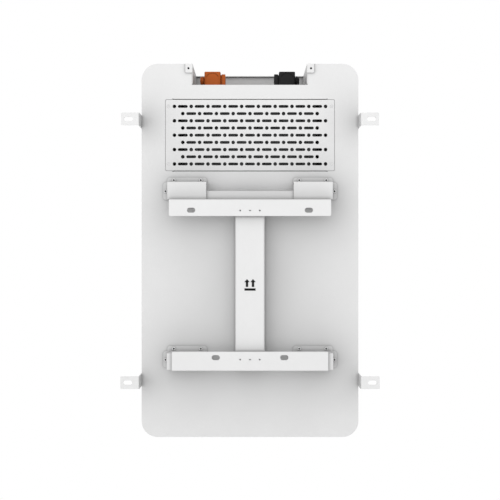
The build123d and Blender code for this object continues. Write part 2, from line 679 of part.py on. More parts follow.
def rail_spine():
    """Deep channel that joins the rails; its web steps up to the backs of the rail plates at both ends."""
    mid = RAIL_SHEET / 2
    web_y = SPINE_WEB_Y - mid
    tab_y = -RAIL_SHEET - mid
    low_end = LOWER_RAIL_Z[0] + RAIL_SHEET + 1
    low_step = LOWER_RAIL_Z[1] - 3
    top_step = UPPER_RAIL_Z[0] + 3
    top_end = UPPER_RAIL_Z[1] - 4
    points = [
        (tab_y, low_end),
        (tab_y, low_step),
        (web_y, low_step),
        (web_y, top_step),
        (tab_y, top_step),
        (tab_y, top_end),
    ]
    spine = folded_strip(points, 1.6, -SPINE_HALF, SPINE_HALF, RAIL_SHEET)
    side_x = SPINE_HALF - mid
    open_span = (low_step + 6, top_step - 6)
    channel = folded_upright(
        [(-side_x, SPINE_FLANGE_Y), (-side_x, web_y), (side_x, web_y), (side_x, SPINE_FLANGE_Y)],
        2.0,
        *open_span,
        RAIL_SHEET,
    )
    spine -= block((-60, 60), (-60, 5), open_span)
    spine += channel
    for x in ((-SPINE_HALF, -SPINE_HALF + RAIL_SHEET), (SPINE_HALF - RAIL_SHEET, SPINE_HALF)):
        for z in ((low_end, open_span[0]), (open_span[1], top_end)):
            spine += block(x, (SPINE_FLANGE_Y, web_y), z)
        for z in ((low_end, low_step), (top_step, top_end)):
            spine += block(x, (web_y - 1, tab_y), z)
    for side in (1, -1):
        for z in (UPPER_WELD_Z, LOWER_WELD_Z):
            spine -= rod((side * WELD_HOLE_X, 0, z), (side * WELD_HOLE_X, -5, z), WELD_HOLE_RADIUS)
    return spine


def orientation_mark():
    """Printed mark on the spine: two upright arrows over a bar."""
    ink = 0.2
    bar_z = -150.0
    base_z = -145.0
    arrows = []
    for x in (-5.7, 5.7):
        shaft = Pos(x, base_z + 5) * Rectangle(4.2, 10)
        head = Pos(x, base_z) * Polygon((-4.8, 9), (4.8, 9), (0, 14.6), align=None)
        arrows.append(slab(shaft + head, SPINE_WEB_Y + ink, ink))
    bar = slab(Pos(0, bar_z) * Rectangle(20.8, 4.2), SPINE_WEB_Y + ink, ink)
    return [*arrows, bar]


# --- brackets on the cabinet -------------------------------------------------------------------------


def cabinet_bracket(z_range, flange_top, face_y):
    """Bracket on the cabinet's back, at positive X: a top flange, a roof, a face and a flanged outer wall."""
    low, high = z_range
    mid = RAIL_SHEET / 2
    flange_y = BACK_Y + mid
    flange_front = BACK_Y + RAIL_SHEET
    face_mid = face_y - mid
    points = [(flange_y, flange_top), (flange_y, high - mid), (face_mid, high - mid), (face_mid, low)]
    body = folded_strip(points, 1.6, BRACKET_INNER_X, BRACKET_OUTER_X, RAIL_SHEET)
    wall_x = BRACKET_OUTER_X - mid
    outline = [(wall_x, face_y - 0.5), (wall_x, flange_y), (SIDE_FLANGE_X, flange_y)]
    body += folded_upright(outline, 1.6, low, high - 1.0, RAIL_SHEET)
    side_x = (BRACKET_OUTER_X - 1, SIDE_FLANGE_X)
    body += block(side_x, (BACK_Y, flange_front), (high - 2, high))
    overhang_x = (BRACKET_OUTER_X - 1, BRACKET_FLANGE_X)
    body += block(overhang_x, (BACK_Y, flange_front), (high - 2, flange_top))
    corners = [
        ((SIDE_FLANGE_X, low), (1, -1)),
        ((SIDE_FLANGE_X, high), (1, 1)),
        ((BRACKET_FLANGE_X, flange_top), (1, 1)),
        ((BRACKET_INNER_X, flange_top), (-1, 1)),
    ]
    for corner, outwards in corners:
        body -= corner_cutter(corner, outwards, FLANGE_CORNER_RADIUS, flange_front + 1, RAIL_SHEET + 2)
    inner_corner = (BRACKET_INNER_X, low)
    return body - corner_cutter(inner_corner, (-1, -1), RAIL_CORNER_RADIUS, 0, RAIL_SHEET + 4)


def bracket_holes(top_z, side_z):
    """Screw holes of one cabinet bracket, at positive X."""
    places = [(x, top_z) for x in TOP_SCREW_X] + [(SIDE_SCREW_X, side_z)]
    return [rod((x, BACK_Y + 3, z), (x, BACK_Y - 1, z), BRACKET_SHANK) for x, z in places]


def hanger():
    """Upper bracket: its face hangs down behind the upper rail's lip."""
    body = cabinet_bracket(HANGER_Z, HANGER_FLANGE_TOP_Z, HANGER_FACE_Y)
    return body - bracket_holes(HANGER_TOP_SCREW_Z, HANGER_SIDE_SCREW_Z)


def standoff():
    """Lower bracket: its face bears on the lower rail and keeps the cabinet upright."""
    body = cabinet_bracket(STANDOFF_Z, STANDOFF_FLANGE_TOP_Z, STANDOFF_FACE_Y)
    return body - bracket_holes(STANDOFF_TOP_SCREW_Z, STANDOFF_SIDE_SCREW_Z)


def bracket_screws():
    """Screws that hold the hangers and standoffs to the cabinet."""
    seat_y = BACK_Y + RAIL_SHEET
    return [
        pan_screw((x, seat_y, z), (0, -1, 0), BRACKET_SHANK, 8, 3.4, 1.8)
        for x, z in bracket_screw_places()
    ]


def side_ear(outer_x, z):
    """Angle bracket on the cabinet's side, at positive X, with a slotted plate against the wall."""
    mid = RAIL_SHEET / 2
    wall_x = CASE_SIDE + mid
    points = [(outer_x, -mid), (wall_x, -mid), (wall_x, -EAR_FLANGE_DEPTH)]
    ear = folded_upright(points, 1.6, z - EAR_HALF_HEIGHT, z + EAR_HALF_HEIGHT, RAIL_SHEET)
    corners = ear.edges().filter_by(Axis.Y).filter_by_position(Axis.X, outer_x - 0.1, outer_x + 0.1)
    ear = fillet(corners, 1.2)
    slot = SlotOverall(EAR_SLOT_LENGTH, 2 * EAR_SLOT_RADIUS)
    ear -= slab(Pos(outer_x - EAR_SLOT_FROM_END, z) * slot, 1, RAIL_SHEET + 2)
    for y in EAR_SCREW_Y:
        ear -= rod((CASE_SIDE - 1, y, z), (CASE_SIDE + 4, y, z), EAR_SHANK)
    return ear


def ear_screws():
    """Screws that hold the ears to the cabinet's sides."""
    screws = []
    for side in (1, -1):
        for z in EAR_Z:
            for y in EAR_SCREW_Y:
                seat = (side * (CASE_SIDE + RAIL_SHEET), y, z)
                screws.append(pan_screw(seat, (-side, 0, 0), EAR_SHANK, 9, 4.4, 2.4))
    return screws


def cover_screws():
    """Screws round the front cover's rim."""
    return [pan_screw(seat, into, COVER_SHANK, 7, 3.4, 1.6) for seat, into in cover_screw_places()]


# --- front panel controls ----------------------------------------------------------------------------


def indicator_lens():
    """Light bar in the front cover, held by a flange behind it."""
    inner_face = FRONT_Y + SHEET
    bar = slab(Pos(0, INDICATOR_Z) * SlotOverall(2 * INDICATOR_HALF - 0.4, 4), inner_face, SHEET + 0.3)
    flange = slab(Pos(0, INDICATOR_Z) * SlotOverall(2 * INDICATOR_HALF + 6, 9), inner_face + 1.5, 1.5)
    return bar + flange


def power_button():
    """Push button cap with the flange that keeps it in the cover."""
    centre_front = (0, FRONT_Y - 1.8, BUTTON_Z)
    cap = rod(centre_front, (0, FRONT_Y + 6, BUTTON_Z), BUTTON_RADIUS)
    cap = fillet(cap.edges().sort_by(Axis.Y)[0], 0.8)
    flange_y = FRONT_Y + SHEET + 0.3
    return cap + rod((0, flange_y, BUTTON_Z), (0, flange_y + 1.5, BUTTON_Z), BUTTON_RADIUS + 2)


def indicator_board():
    """Small circuit board with the light bar's lamps and the button's switch."""
    back = FRONT_Y + 12.6
    board = block((-50, 50), (back - 1.6, back), (100, 165))
    lamp_z = (INDICATOR_Z - 1.5, INDICATOR_Z + 1.5)
    lamps = [block((x - 2, x + 2), (back - 4, back - 1.6), lamp_z) for x in range(-35, 36, 10)]
    switch = block((-4, 4), (back - 5, back - 1.6), (BUTTON_Z - 4, BUTTON_Z + 4))
    posts = [rod((x, back, z), (x, back + 6, z), 3) for x in (-44, 44) for z in (106, 159)]
    return board + lamps + switch + posts


# --- battery module ----------------------------------------------------------------------------------


def cell_middle_z(level):
    """Height of a cell's middle, counted from the bottom of the stack."""
    return CELL_LOW_Z + CELL_SIZE[2] / 2 + level * CELL_PITCH


def battery_cell(side, level):
    """One prismatic cell with two terminal posts and a vent disc, facing the front."""
    width, depth, height = CELL_SIZE
    z = cell_middle_z(level)
    x = side * CELL_X
    body = Pos(x, CELL_BACK_Y - depth / 2, z) * Box(width, depth, height)
    body = fillet(body.edges().filter_by(Axis.Y), 3)
    for dx in (-TERMINAL_POST_X, TERMINAL_POST_X):
        body += rod((x + dx, CELL_FRONT_Y + 0.5, z), (x + dx, CELL_FRONT_Y - 3, z), 8)
    return body + rod((x, CELL_FRONT_Y + 0.5, z), (x, CELL_FRONT_Y - 0.8, z), 7)


def cell_tray():
    """Sheet tray behind the cells, standing on four feet on the back panel."""
    back = CELL_BACK_Y + 2
    tray = block((-166, 166), (CELL_BACK_Y, back), (CELL_LOW_Z - END_PLATE, CELL_TOP_Z + END_PLATE))
    for side in (1, -1):
        rim = (side * 165 - 1, side * 165 + 1)
        tray += block(rim, (CELL_BACK_Y - 25, back), (CELL_LOW_Z - END_PLATE, CELL_TOP_Z + END_PLATE))
        for z in (-400, -200, -30):
            tray += rod((side * 60, back, z), (side * 60, BACK_Y - SHEET, z), 9)
    return tray


def end_plate(low_z):
    """Aluminium plate that closes one end of the cell stacks."""
    plate = block((-162.2, 162.2), (CELL_FRONT_Y, CELL_BACK_Y), (low_z, low_z + END_PLATE))
    return plate - [
        block((x - 30, x + 30), (CELL_FRONT_Y + 15, CELL_BACK_Y - 15), (low_z + 3, low_z + END_PLATE - 3))
        for x in (-110, 0, 110)
    ]


def module_straps():
    """Steel bands along both sides that pull the end plates together."""
    span = (CELL_LOW_Z - END_PLATE, CELL_TOP_Z + END_PLATE)
    straps = []
    for x in ((162.2, 163.7), (-163.7, -162.2)):
        for y in (-100, -145):
            straps.append(block(x, (y - 10, y + 10), span))
    return straps


def busbar(x_low, x_high, z_low, z_high):
    """Flat link lying on the terminal posts."""
    return block((x_low, x_high), (CELL_FRONT_Y - 5, CELL_FRONT_Y - 3), (z_low, z_high))


def cell_busbars():
    """Series links: up and down each stack on alternate sides, one cross link and two output bars."""
    links = []
    for side in (1, -1):
        for level in range(CELL_COUNT - 1):
            outwards = 1 if level % 2 == 0 else -1
            x = side * (CELL_X + outwards * TERMINAL_POST_X)
            z = cell_middle_z(level)
            links.append(busbar(x - 9, x + 9, z - 9, z + CELL_PITCH + 9))
        inner = side * (CELL_X - TERMINAL_POST_X)
        top = cell_middle_z(CELL_COUNT - 1)
        links.append(busbar(inner - 9, inner + 9, top - 9, 22))
    inner = CELL_X - TERMINAL_POST_X
    low = cell_middle_z(0)
    links.append(busbar(-inner - 9, inner + 9, low - 9, low + 9))
    return links


def sense_board():
    """Cell-voltage board: one strip over each stack and a bridge across the top."""
    back = CELL_FRONT_Y - 1.6
    span = (back - 1.0, back)
    strips = [
        block((side * CELL_X - 12, side * CELL_X + 12), span, (CELL_LOW_Z + 10, -17)) for side in (1, -1)
    ]
    bridge = block((-CELL_X, CELL_X), span, (-27, -17))
    bridge -= block((-55, -20), (span[0] - 1, span[1] + 1), (-28, -16))
    bridge -= block((20, 55), (span[0] - 1, span[1] + 1), (-28, -16))
    arch = [block((side * 37.5 - 20, side * 37.5 + 20), span, (-16.5, -13)) for side in (1, -1)]
    lift = [block((x - 2.5, x + 2.5), span, (-20, -13)) for x in (-57, -19, 19, 57)]
    return strips[0] + strips[1] + bridge + arch + lift


def bms_heat_sink():
    """Finned aluminium heat sink behind the vent panel."""
    sink = block((-129, 129), (-84, -79), (82, 212))
    fins = [block((x - 0.9, x + 0.9), (-79.5, -60), (82, 212)) for x in range(-126, 127, 12)]
    return sink + fins


def bms_board():
    """Battery management board: power transistors against the heat sink, parts towards the front."""
    board = block((-122, 122), (-91.6, -90), (66, 212))
    parts_on_board = []
    for x in range(-105, 106, 15):
        for z in (110, 150, 190):
            parts_on_board.append(block((x - 4.5, x + 4.5), (-90.2, -84), (z - 5, z + 5)))
    parts_on_board.append(block((-30, 30), (-100, -91.4), (150, 180)))
    parts_on_board.append(block((-100, -70), (-98, -91.4), (150, 180)))
    parts_on_board.append(block((-112, -62), (-94, -91.4), (70, 88)))
    parts_on_board += [rod((x, -91.4, 110), (x, -103, 110), 6) for x in (-20, 0, 20, 40)]
    return board + parts_on_board


def main_fuse():
    """Bolted main fuse on a post, between the positive output bar and the positive cable."""
    y = CELL_FRONT_Y - 4
    body = block((26, 48), (y - 9, y + 9), (28, 58))
    body = fillet(body.edges().filter_by(Axis.Z), 3)
    tabs = [block((30, 44), (y - 3, y - 1), (12, 29)), block((30, 44), (y - 3, y - 1), (57, 72))]
    post = rod((37, y + 8, 43), (37, CELL_BACK_Y + 4, 43), 6)
    return body + tabs + post


def swept_cable(points):
    """Round cable along straight runs joined by arcs as large as the runs allow."""
    runs = [(Vector(*b) - Vector(*a)) for a, b in zip(points, points[1:])]
    radii = []
    for before, after in zip(runs, runs[1:]):
        turn = before.get_angle(after)
        radii.append(0.45 * min(before.length, after.length) / tan(radians(turn / 2)))
    path = FilletPolyline(*points, radius=radii)
    start = Plane(origin=points[0], z_dir=runs[0])
    return sweep(start * Circle(CABLE_RADIUS), path=path)


def cable_positive():
    """Positive cable, from the fuse's upper tab to the positive terminal's stud."""
    lug = block((30, 44), (-177, -175), (62, 80))
    x, y = RECESS_X + TERMINAL_X, TERMINAL_Y
    route = [(37, -170, 74), (37, -170, 104), (50, -148, 134), (x, y, 160), (x, y, 188)]
    return swept_cable(route) + lug + rod((x, y, 186), (x, y, 192), 7)


def cable_negative():
    """Negative cable, from the management board to the negative terminal's stud."""
    lug = block((-96, -78), (-97.4, -94), (70, 88))
    x, y = RECESS_X - TERMINAL_X, TERMINAL_Y
    route = [(-87, -100, 84), (-87, -104, 112), (-79, y, 140), (x, y, 164), (x, y, 188)]
    return swept_cable(route) + lug + rod((x, y, 186), (x, y, 192), 7)


# --- assembly ----------------------------------------------------------------------------------------


def build_bracket():
    keep("upper_wall_rail", upper_wall_rail())
    keep("lower_wall_rail", lower_wall_rail())
    keep("rail_spine", rail_spine())
    keep("orientation_mark", *orientation_mark())


def build_cabinet():
    keep("rear_case", rear_case())
    keep("front_cover", front_cover())
    keep("cover_gasket", cover_gasket())
    keep("vent_grille", vent_grille())
    keep("grille_screws", *grille_screws())
    keep("terminal_tray", Pos(RECESS_X, 0, 0) * terminal_tray())
    keep("bracket_screws", *bracket_screws())
    keep("ear_screws", *ear_screws())
    keep("cover_screws", *cover_screws())
    for name, make in (("hanger", hanger), ("standoff", standoff)):
        shape = make()
        keep(f"{name}_left", shape)
        keep(f"{name}_right", mirrored(shape))
    for name, outer_x, z in zip(("top", "bottom"), EAR_OUTER_X, EAR_Z):
        shape = side_ear(outer_x, z)
        keep(f"ear_{name}_left", shape)
        keep(f"ear_{name}_right", mirrored(shape))


def build_terminals():
    place = Pos(RECESS_X, 0, 0)
    keep("receptacle_screws", *[place * screw for screw in receptacle_screws()])
    keep("signal_ports", *[place * port for port in signal_ports()])
    keep("earth_stud", place * earth_stud())
    for name, make in (
        ("receptacle", receptacle),
        ("pin", terminal_pin),
        ("lock_collar", lock_collar),
        ("plug_elbow", plug_elbow),
        ("plug_contact", plug_contact),
        ("plug_button", plug_button),
        ("cable_nut", cable_nut),
    ):
        shape = make()
        keep(f"{name}_positive", place * shape)
        keep(f"{name}_negative", place * mirrored(shape))


def build_front_controls():
    keep("indicator_lens", indicator_lens())
    keep("power_button", power_button())
    keep("indicator_board", indicator_board())


def build_module():
    keep("cell_tray", cell_tray())
    for level in range(CELL_COUNT):
        keep(f"cell_pair_{level + 1}", battery_cell(1, level), battery_cell(-1, level))
    keep("end_plate_bottom", end_plate(CELL_LOW_Z - END_PLATE))
    keep("end_plate_top", end_plate(CELL_TOP_Z))
    keep("module_straps", *module_straps())
    keep("cell_busbars", *cell_busbars())
    keep("sense_board", sense_board())
    keep("bms_board", bms_board())
    keep("bms_heat_sink", bms_heat_sink())
    keep("main_fuse", main_fuse())
    keep("cable_positive", cable_positive())
    keep("cable_negative", cable_negative())


build_bracket()
build_cabinet()
build_terminals()
build_front_controls()
build_module()

os.makedirs("parts", exist_ok=True)
for name, shape in parts.items():
    export_step(shape, f"parts/{name}.step")
print(len(parts), "nodes written")
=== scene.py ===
"""Looks of a wall battery unit, seen from its wall side: materials, edge rounding, light and camera.

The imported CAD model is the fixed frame. Lengths are in metres, in the frame of the CAD model: X across the
unit, +Y towards the wall, +Z up.
"""

import json
from math import radians

import bpy
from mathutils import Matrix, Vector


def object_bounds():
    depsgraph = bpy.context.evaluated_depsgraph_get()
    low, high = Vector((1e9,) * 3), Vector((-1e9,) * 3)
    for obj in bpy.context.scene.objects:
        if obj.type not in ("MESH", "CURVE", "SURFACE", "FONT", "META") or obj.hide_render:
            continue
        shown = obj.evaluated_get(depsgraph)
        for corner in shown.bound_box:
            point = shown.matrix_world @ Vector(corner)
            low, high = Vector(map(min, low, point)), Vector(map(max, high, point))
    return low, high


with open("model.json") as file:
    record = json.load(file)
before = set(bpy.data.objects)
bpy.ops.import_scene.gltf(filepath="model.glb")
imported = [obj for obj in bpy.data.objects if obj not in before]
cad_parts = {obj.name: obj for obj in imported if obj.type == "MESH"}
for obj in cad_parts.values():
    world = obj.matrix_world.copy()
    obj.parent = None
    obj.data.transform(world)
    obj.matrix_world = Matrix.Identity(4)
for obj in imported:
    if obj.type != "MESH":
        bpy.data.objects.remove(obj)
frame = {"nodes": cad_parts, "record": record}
cad_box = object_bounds()
nodes = frame["nodes"]

MM = 0.001

# Photographer's set-up.
CAMERA_DISTANCE = 2.077
CAMERA_HEIGHT = -0.0752
VIEW_WIDTH_AT_CASE = 0.9645
CASE_BACK_Y = -0.045
SENSOR = 36.0
FLOOR_DROP = 0.52
FLOOR_SIZE = 3.0
FLOOR_DARK = (0.85, 0.85, 0.85)
FLOOR_LIGHT = (0.88, 0.88, 0.88)

# Strength of the light from each direction, by the direction's Y, and how far it leans towards +X.
LIGHT_RAMP = ((-1.0, 1.12), (-0.05, 0.48), (0.1, 0.48), (1.0, 1.49))
LIGHT_LEAN = 0.35
BACKDROP = 1.0

# Painted shade, darkening painted into the colour in corners and gaps: reach, samples, and tone against
# openness.
WIDE_SHADE_STEPS = ((0.0, 0.66), (0.5, 0.72), (0.7, 0.75), (0.87, 0.80), (0.96, 0.88), (1.0, 1.0))
WIDE_PAINTED_SHADE = (250 * MM, 48, WIDE_SHADE_STEPS)
FINE_PAINTED_SHADE = (7 * MM, 16, ((0.0, 0.5), (0.5, 0.72), (0.9, 0.93), (1.0, 1.0)))
# Screw sockets: painted shade, near black, down in the socket.
SOCKET_PAINTED_SHADE = (3.5 * MM, 16, ((0.0, 0.0), (0.62, 0.0), (0.78, 1.0)))
BLACK = (0.0, 0.0, 0.0)
# Near-black colour painted as shade down in screw sockets.
SOCKET_SHADE_BLACK = (0.015, 0.015, 0.016)

# The spans that most noise values fall in, wide and narrow, and the span of a blend.
NOISE_SPAN = (0.3, 0.7)
SLOW_NOISE_SPAN = (0.35, 0.65)
FULL_SPAN = (0.0, 1.0)

# Strength of reflections, and size of the powder coat's orange peel.
COAT_SPECULAR = 0.35
MATT_SPECULAR = 0.12
COAT_GRAIN = 1.1 * MM

# Places of sockets that share a name: colours and result of a Mix node, shaders of a Mix Shader node.
MIX_COLOURS = (6, 7)
MIX_RESULT = 2
MIX_SHADERS = (1, 2)

# Edge roundings.
SHEET_EDGE = 0.3 * MM
MOULDED_EDGE = 0.45 * MM
SCREW_EDGE = 0.15 * MM
SHARP_ANGLE = radians(32)
SAME_POINT = 0.002 * MM
SAME_PLANE = radians(0.4)
LARGE_FACE_WEIGHT = 80


def set_ramp(node, steps):
    """Grey steps (place, value) on a colour ramp."""
    elements = node.color_ramp.elements
    while len(elements) < len(steps):
        elements.new(0.5)
    for element, (place, value) in zip(elements, steps):
        element.position = place
        element.color = (value, value, value, 1.0)


# --- material building blocks ------------------------------------------------------------------------


def scaled(colour, factor, offset=0.0):
    """The colour made darker or lighter."""
    return tuple(c * factor + offset for c in colour)


class Paint:
    """One node material under construction."""

    def __init__(self, name, colour, roughness, metallic=0.0):
        self.material = bpy.data.materials.new(name)
        self.material.use_nodes = True
        self.tree = self.material.node_tree
        self.shader = self.tree.nodes["Principled BSDF"]
        self.shader.inputs["Base Color"].default_value = (*colour, 1.0)
        self.shader.inputs["Roughness"].default_value = roughness
        self.shader.inputs["Metallic"].default_value = metallic
        self.position = self.tree.nodes.new("ShaderNodeTexCoord").outputs["Object"]

    def add(self, kind, **settings):
        node = self.tree.nodes.new(kind)
        for key, value in settings.items():
            setattr(node, key, value)
        return node

    def link(self, source, target):
        self.tree.links.new(source, target)

    def stretched(self, scale):
        """The position, scaled differently along each axis."""
        mapping = self.add("ShaderNodeMapping")
        mapping.inputs["Scale"].default_value = scale
        self.link(self.position, mapping.inputs["Vector"])
        return mapping.outputs["Vector"]

    def noise(self, grain, detail=2.0, roughness=0.5, vector=None):
        """Noise whose features are about grain metres across."""
        texture = self.add("ShaderNodeTexNoise")
        texture.inputs["Scale"].default_value = 1.0 / grain
        texture.inputs["Detail"].default_value = detail
        texture.inputs["Roughness"].default_value = roughness
        self.link(vector or self.position, texture.inputs["Vector"])
        return texture.outputs["Fac"]

    def remap(self, value, from_range, to_range):
        """Value clamped and scaled from one range to another."""
        node = self.add("ShaderNodeMapRange")
        self.link(value, node.inputs["Value"])
        node.inputs["From Min"].default_value, node.inputs["From Max"].default_value = from_range
        node.inputs["To Min"].default_value, node.inputs["To Max"].default_value = to_range
        return node.outputs["Result"]

    def mix(self, factor, first, second):
        """Colour that goes from first to second as the factor goes from 0 to 1."""
        node = self.add("ShaderNodeMix", data_type="RGBA")
        self.link(factor, node.inputs["Factor"])
        for place, colour in zip(MIX_COLOURS, (first, second)):
            if isinstance(colour, tuple):
                node.inputs[place].default_value = (*colour, 1.0)
            else:
                self.link(colour, node.inputs[place])
        return node.outputs[MIX_RESULT]

    def vary_colour(self, factor, first, second):
        colour = self.mix(factor, first, second)
        self.link(colour, self.shader.inputs["Base Color"])
        return colour

    def vary_roughness(self, value, low, high):
        self.link(self.remap(value, NOISE_SPAN, (low, high)), self.shader.inputs["Roughness"])

    def set_specular(self, level):
        self.shader.inputs["Specular IOR Level"].default_value = level

    def bump(self, height, distance, strength=1.0):
        """Surface relief of about distance metres; later calls lie on top of earlier ones."""
        node = self.add("ShaderNodeBump")
        node.inputs["Distance"].default_value = distance
        node.inputs["Strength"].default_value = strength
        self.link(height, node.inputs["Height"])
        normal = self.shader.inputs["Normal"]
        if normal.is_linked:
            self.link(normal.links[0].from_socket, node.inputs["Normal"])
        self.link(node.outputs["Normal"], normal)

    def painted_shade(self, reach, samples, steps):
        """Painted shade: depth of tone by how open the surroundings are within reach metres; steps are
        (openness, tone).
        """
        shade = self.add("ShaderNodeAmbientOcclusion", samples=samples)
        shade.inputs["Distance"].default_value = reach
        ramp = self.add("ShaderNodeValToRGB")
        set_ramp(ramp, steps)
        self.link(shade.outputs["AO"], ramp.inputs["Fac"])
        return ramp.outputs["Color"]

    def edges(self, reach):
        """1 on outer edges and corners, 0 elsewhere."""
        shade = self.add("ShaderNodeAmbientOcclusion", samples=4, inside=True, only_local=True)
        shade.inputs["Distance"].default_value = reach
        return self.remap(shade.outputs["AO"], (0.05, 0.6), FULL_SPAN)


# --- materials ---------------------------------------------------------------------------------------


def orange_peel(paint):
    """Fine relief of the powder coat."""
    paint.bump(paint.noise(COAT_GRAIN, 2.0, 0.45), 0.03 * MM, 0.6)


def powder_coat(name, colour):
    """Satin powder coat: fine orange peel, a trace of uneven tone, and painted shade that greys it in
    corners and gaps.
    """
    paint = Paint(name, colour, 0.42)
    tone = paint.remap(paint.noise(60 * MM, 3.0), SLOW_NOISE_SPAN, FULL_SPAN)
    body = paint.mix(tone, scaled(colour, 0.985), colour)
    # Painted shade: the colour darkens in corners and gaps, over a wide reach and a fine one.
    body = paint.mix(paint.painted_shade(*WIDE_PAINTED_SHADE), BLACK, body)
    paint.vary_colour(paint.painted_shade(*FINE_PAINTED_SHADE), BLACK, body)
    paint.vary_roughness(paint.noise(9 * MM, 4.0), 0.36, 0.50)
    paint.bump(paint.noise(5 * MM, 1.0), 0.02 * MM, 0.5)
    orange_peel(paint)
    paint.set_specular(COAT_SPECULAR)
    return paint.material


def socket_screw(name, colour):
    """Painted screw head, with near-black painted shade down in its socket."""
    paint = Paint(name, colour, 0.45)
    tone = paint.remap(paint.noise(1.5 * MM, 3.0), NOISE_SPAN, FULL_SPAN)
    body = paint.mix(tone, scaled(colour, 0.93), colour)
    # Painted shade: the socket is painted near black.
    paint.vary_colour(paint.painted_shade(*SOCKET_PAINTED_SHADE), SOCKET_SHADE_BLACK, body)
    paint.vary_roughness(paint.noise(0.8 * MM, 3.0), 0.38, 0.56)
    paint.bump(paint.noise(0.5 * MM, 2.0), 0.02 * MM, 0.5)
    return paint.material


def plated_steel(name, colour):
    """Zinc-plated steel: cloudy tone, fine random scratches."""
    paint = Paint(name, colour, 0.34, 1.0)
    cloud = paint.remap(paint.noise(1.6 * MM, 4.0), NOISE_SPAN, FULL_SPAN)
    paint.vary_colour(cloud, scaled(colour, 0.78), colour)
    paint.vary_roughness(paint.noise(0.8 * MM, 5.0), 0.26, 0.48)
    paint.bump(paint.noise(0.35 * MM, 3.0), 0.012 * MM, 0.5)
    return paint.material


def galvanised(name, colour):
    """Galvanised sheet with a crystal spangle."""
    paint = Paint(name, colour, 0.4, 1.0)
    crystals = paint.add("ShaderNodeTexVoronoi")
    crystals.inputs["Scale"].default_value = 1.0 / (9 * MM)
    paint.link(paint.position, crystals.inputs["Vector"])
    grey = paint.add("ShaderNodeSeparateColor")
    paint.link(crystals.outputs["Color"], grey.inputs["Color"])
    paint.vary_colour(grey.outputs["Red"], scaled(colour, 0.8), colour)
    paint.link(paint.remap(grey.outputs["Green"], FULL_SPAN, (0.3, 0.5)), paint.shader.inputs["Roughness"])
    paint.bump(paint.noise(2 * MM, 3.0), 0.01 * MM, 0.4)
    return paint.material


def extruded_aluminium(name, colour, roughness, direction):
    """Extruded aluminium, with drawn lines along one axis."""
    paint = Paint(name, colour, roughness, 1.0)
    lines = paint.noise(1.2 * MM, 3.0, 0.6, paint.stretched(direction))
    paint.vary_colour(paint.remap(lines, NOISE_SPAN, FULL_SPAN), scaled(colour, 0.8), colour)
    paint.vary_roughness(lines, roughness - 0.08, roughness + 0.12)
    paint.bump(lines, 0.02 * MM, 0.5)
    return paint.material


def moulded_nylon(name, colour, roughness):
    """Glass-filled nylon: spark-eroded texture, slight flow marks, a painted highlight on outer edges and
    painted shade in corners.
    """
    paint = Paint(name, colour, roughness)
    flow = paint.remap(paint.noise(14 * MM, 4.0, 0.6), SLOW_NOISE_SPAN, FULL_SPAN)
    body = paint.mix(flow, scaled(colour, 0.9), colour)
    # Painted highlight: outer edges and corners lighter.
    edge_highlight = scaled(colour, 1.12, 0.003)
    body = paint.mix(paint.edges(0.6 * MM), body, edge_highlight)
    # Painted shade: darker in corners and gaps.
    paint.vary_colour(paint.painted_shade(*FINE_PAINTED_SHADE), BLACK, body)
    paint.vary_roughness(paint.noise(3 * MM, 4.0), roughness - 0.07, roughness + 0.08)
    paint.bump(paint.noise(0.28 * MM, 3.0, 0.6), 0.03 * MM, 0.55)
    paint.set_specular(MATT_SPECULAR)
    return paint.material


def contact_metal(name, colour):
    """Silver-plated copper with light tarnish."""
    paint = Paint(name, colour, 0.25, 1.0)
    stain = paint.remap(paint.noise(4 * MM, 5.0), (0.4, 0.7), FULL_SPAN)
    paint.vary_colour(stain, colour, scaled(colour, 0.72))
    paint.vary_roughness(paint.noise(0.6 * MM, 4.0), 0.18, 0.36)
    paint.bump(paint.noise(0.3 * MM, 2.0), 0.01 * MM, 0.4)
    return paint.material


def printed_ink(name, colour):
    """Pad-printed ink: the coat's texture shows through, and the film is a little uneven."""
    paint = Paint(name, colour, 0.5)
    film = paint.remap(paint.noise(1.5 * MM, 5.0, 0.7), (0.35, 0.7), FULL_SPAN)
    paint.vary_colour(film, colour, scaled(colour, 1.8, 0.004))
    paint.vary_roughness(paint.noise(2 * MM, 3.0), 0.42, 0.6)
    orange_peel(paint)
    paint.set_specular(MATT_SPECULAR)
    return paint.material


def rubber(name, colour, roughness):
    """Soft rubber with a dusty bloom."""
    paint = Paint(name, colour, roughness)
    bloom = paint.remap(paint.noise(5 * MM, 6.0, 0.65), (0.45, 0.75), FULL_SPAN)
    paint.vary_colour(bloom, colour, scaled(colour, 1.35, 0.008))
    paint.vary_roughness(paint.noise(1.5 * MM, 3.0), roughness - 0.08, roughness + 0.1)
    paint.bump(paint.noise(0.25 * MM, 2.0), 0.02 * MM, 0.5)
    return paint.material


def circuit_board(name, colour):
    """Solder mask over copper tracks: bands of tracks and pads in two directions."""
    paint = Paint(name, colour, 0.3)
    tracks = paint.add("ShaderNodeTexBrick")
    tracks.inputs["Scale"].default_value = 90.0
    tracks.inputs["Mortar Size"].default_value = 0.035
    tracks.inputs["Color1"].default_value = (*colour, 1.0)
    tracks.inputs["Color2"].default_value = (*scaled(colour, 0.8), 1.0)
    tracks.inputs["Mortar"].default_value = (*scaled(colour, 1.9), 1.0)
    turned = paint.add("ShaderNodeMapping")
    turned.inputs["Rotation"].default_value = (radians(90), 0, 0)
    paint.link(paint.position, turned.inputs["Vector"])
    paint.link(turned.outputs["Vector"], tracks.inputs["Vector"])
    paint.link(tracks.outputs["Color"], paint.shader.inputs["Base Color"])
    paint.vary_roughness(paint.noise(6 * MM, 3.0), 0.24, 0.4)
    paint.bump(tracks.outputs["Fac"], 0.03 * MM, 0.4)
    return paint.material


